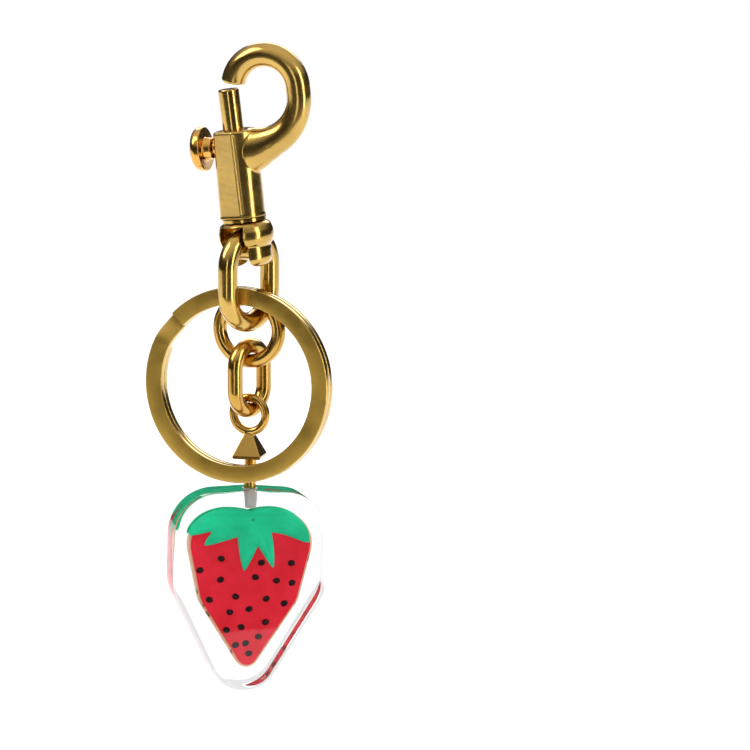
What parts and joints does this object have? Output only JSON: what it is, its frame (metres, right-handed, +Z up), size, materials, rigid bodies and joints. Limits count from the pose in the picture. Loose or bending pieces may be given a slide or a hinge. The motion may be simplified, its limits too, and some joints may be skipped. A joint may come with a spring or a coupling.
{
  "type": "keychain",
  "caption": "Metal key chain with a sprung trigger snap, a swivel, oval and round links, a split ring and a clear charm that holds a strawberry.",
  "frame": {"origin": "inside top of the hook, the point that the key chain hangs from", "axes": "+Z up as it hangs, +Y away from the charm's front, +X to the right seen from the front; millimetre model in metres here"},
  "size_m": [0.0307, 0.0163, 0.1063],
  "materials": {
    "polished_brass": "polished gold-tone brass",
    "satin_brass": "satin gold-tone brass",
    "spring_steel": "bright drawn steel",
    "adhesive": "cloudy clear adhesive",
    "clear_resin": "polished water-clear resin",
    "core_cream": "satin cream plastic",
    "berry_red": "glossy red plastic",
    "leaf_green": "glossy green plastic",
    "seed_dark": "glossy dark paint"
  },
  "bodies": {
    "snap": {"snap_body": "polished_brass", "bolt_spring": "spring_steel"},
    "bolt": {"bolt": "polished_brass", "thumb_knob": "polished_brass"},
    "swivel": {"swivel_eye": "polished_brass", "retaining_washer": "spring_steel", "thrust_washer": "polished_brass"},
    "large_link": {"large_link": "polished_brass"},
    "split_ring": {"split_ring": "satin_brass"},
    "round_link": {"round_link": "polished_brass"},
    "small_link": {"small_link": "polished_brass"},
    "charm": {"cap_eye": "polished_brass", "eye_pin": "spring_steel", "pin_adhesive": "adhesive", "clear_front": "clear_resin", "clear_rear": "clear_resin", "berry_core": "core_cream", "berry_front": "berry_red", "berry_rear": "berry_red", "calyx_front": "leaf_green", "calyx_rear": "leaf_green", "seeds_front": "seed_dark", "seeds_rear": "seed_dark"}
  },
  "joints": [
    {"name": "bolt_slide", "type": "slide", "parent": "snap", "child": "bolt", "axis": [0.121, -0.0441, -0.9917], "range_m": [0, 0.0048], "stiffness_N_per_m": 350, "springref_m": -0.004, "deforming": ["bolt_spring"]},
    {"name": "swivel_spin", "type": "hinge", "parent": "snap", "child": "swivel", "pos_m": [-0.00214, 0.00078, -0.0306], "axis": [-0.121, 0.0441, 0.9917], "continuous": true},
    {"name": "large_link_swing", "type": "hinge", "parent": "swivel", "child": "large_link", "pos_m": [-0.00214, 0.00078, -0.0306], "axis": [0.766, -0.6428, 0], "range_deg": [-20, 20]},
    {"name": "split_ring_swing", "type": "hinge", "parent": "large_link", "child": "split_ring", "pos_m": [-0.00347, -0.00003, -0.03747], "axis": [0.3741, 0.9259, -0.0523], "range_deg": [-15, 15]},
    {"name": "round_link_swing", "type": "hinge", "parent": "large_link", "child": "round_link", "pos_m": [-0.0021, 0.0021, -0.0405], "axis": [0.3746, 0.9272, 0], "range_deg": [-20, 6]},
    {"name": "small_link_swing", "type": "hinge", "parent": "round_link", "child": "small_link", "pos_m": [-0.0021, 0.0021, -0.04865], "axis": [0.766, -0.6428, 0], "range_deg": [0, 20]},
    {"name": "charm_swing", "type": "hinge", "parent": "small_link", "child": "charm", "pos_m": [-0.0021, 0.0021, -0.05673], "axis": [0.342, 0.9397, 0], "range_deg": [-15, 15]}
  ]
}
